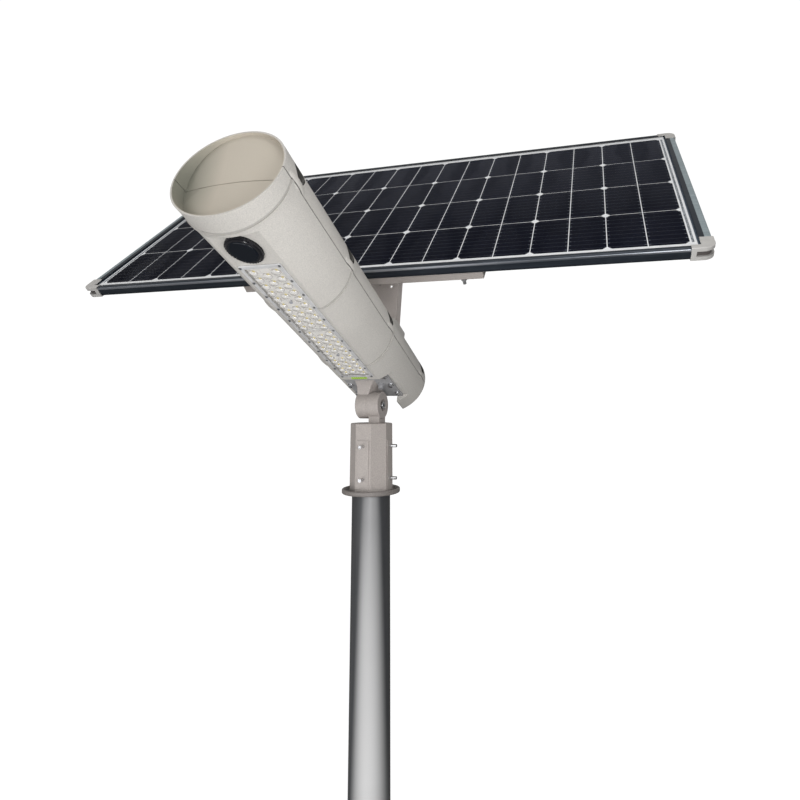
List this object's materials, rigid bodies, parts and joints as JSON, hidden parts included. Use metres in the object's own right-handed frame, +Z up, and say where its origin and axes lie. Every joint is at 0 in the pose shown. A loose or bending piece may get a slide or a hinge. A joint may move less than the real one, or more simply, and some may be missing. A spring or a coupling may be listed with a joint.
{
  "type": "solar street lamp",
  "caption": "Solar street lamp: tilted LED lamp tube with motion sensor on a jointed adaptor, solar panel on a post behind it, on the top section of its pole.",
  "frame": {"origin": "centre of the socket at the pole section's lower end", "axes": "+Z up along the pole, +X along the solar panel's long side, -Y the way the lamp's mouth points"},
  "size_m": [1.5332, 0.988, 1.7725],
  "materials": {
    "pole_paint": "satin",
    "fitting_paint": "satin",
    "housing_paint": "satin",
    "plate_metal": "satin",
    "module_metal": "satin",
    "bare_aluminium": "satin",
    "bare_steel": "satin",
    "bolt_steel": "polished",
    "seal_rubber": "matte",
    "gland_plastic": "matte",
    "clear_optic": "clear",
    "board_white": "satin",
    "led_yellow": "satin",
    "strip_green": "satin",
    "sensor_black": "matte",
    "sensor_window": "satin",
    "cell_sleeve": "satin",
    "holder_plastic": "matte",
    "controller_black": "matte",
    "terminal_green": "satin",
    "frame_anodised": "satin",
    "cap_plastic": "satin",
    "panel_glass": "clear",
    "solar_cell": "satin",
    "sheet_white": "satin",
    "ribbon_metal": "satin"
  },
  "bodies": {
    "pole": {"pole_section": "pole_paint", "pole_spigot": "bare_steel", "centring_disc": "bare_steel", "cover_ring": "fitting_paint"},
    "adaptor": {"adaptor": "fitting_paint", "set_screws": "bolt_steel", "pivot_bolt": "bolt_steel", "pivot_nut": "bolt_steel", "pivot_washers": "bolt_steel"},
    "lamp": {"knuckle": "fitting_paint", "upper_shell": "housing_paint", "lower_shell": "housing_paint", "shell_gasket": "seal_rubber", "shell_screws": "bolt_steel", "mount_plate": "plate_metal", "plate_bolts": "bolt_steel", "cable_gland": "gland_plastic", "led_gasket": "seal_rubber", "led_frame": "module_metal", "led_frame_screws": "bolt_steel", "optic_front": "clear_optic", "optic_rear": "clear_optic", "led_board_front": "board_white", "led_board_rear": "board_white", "led_chips": "led_yellow", "optic_screws": "bolt_steel", "heat_spreader": "bare_aluminium", "indicator_strip": "strip_green", "sensor_ring": "sensor_black", "sensor_lens": "sensor_window", "sensor_body": "gland_plastic", "battery_cells": "cell_sleeve", "battery_holders": "holder_plastic", "battery_tray": "bare_aluminium", "controller_case": "controller_black", "controller_terminals": "terminal_green", "post": "fitting_paint", "foot_bolts": "bolt_steel", "hinge_bolt": "bolt_steel", "hinge_nut": "bolt_steel"},
    "panel": {"beam": "fitting_paint", "rail_near": "fitting_paint", "rail_far": "fitting_paint", "rail_bolts": "bolt_steel", "frame_near": "frame_anodised", "frame_far": "frame_anodised", "frame_left": "frame_anodised", "frame_right": "frame_anodised", "cap_near_left": "cap_plastic", "cap_near_right": "cap_plastic", "cap_far_left": "cap_plastic", "cap_far_right": "cap_plastic", "panel_glass": "panel_glass", "solar_cells": "solar_cell", "backsheet": "sheet_white", "end_ribbons": "ribbon_metal", "junction_box": "controller_black", "junction_glands": "controller_black"}
  },
  "joints": [
    {"name": "adaptor_swivel", "type": "hinge", "parent": "pole", "child": "adaptor", "pos_m": [0, 0, 0.85], "axis": [0, 0, 1], "range_deg": [-180, 180]},
    {"name": "lamp_tilt", "type": "hinge", "parent": "adaptor", "child": "lamp", "pos_m": [0, 0, 0.9785], "axis": [1, 0, 0], "range_deg": [-45, 24]},
    {"name": "panel_tilt", "type": "hinge", "parent": "lamp", "child": "panel", "pos_m": [0, 0.0832, 1.38553], "axis": [1, 0, 0], "range_deg": [-35, 4]}
  ]
}
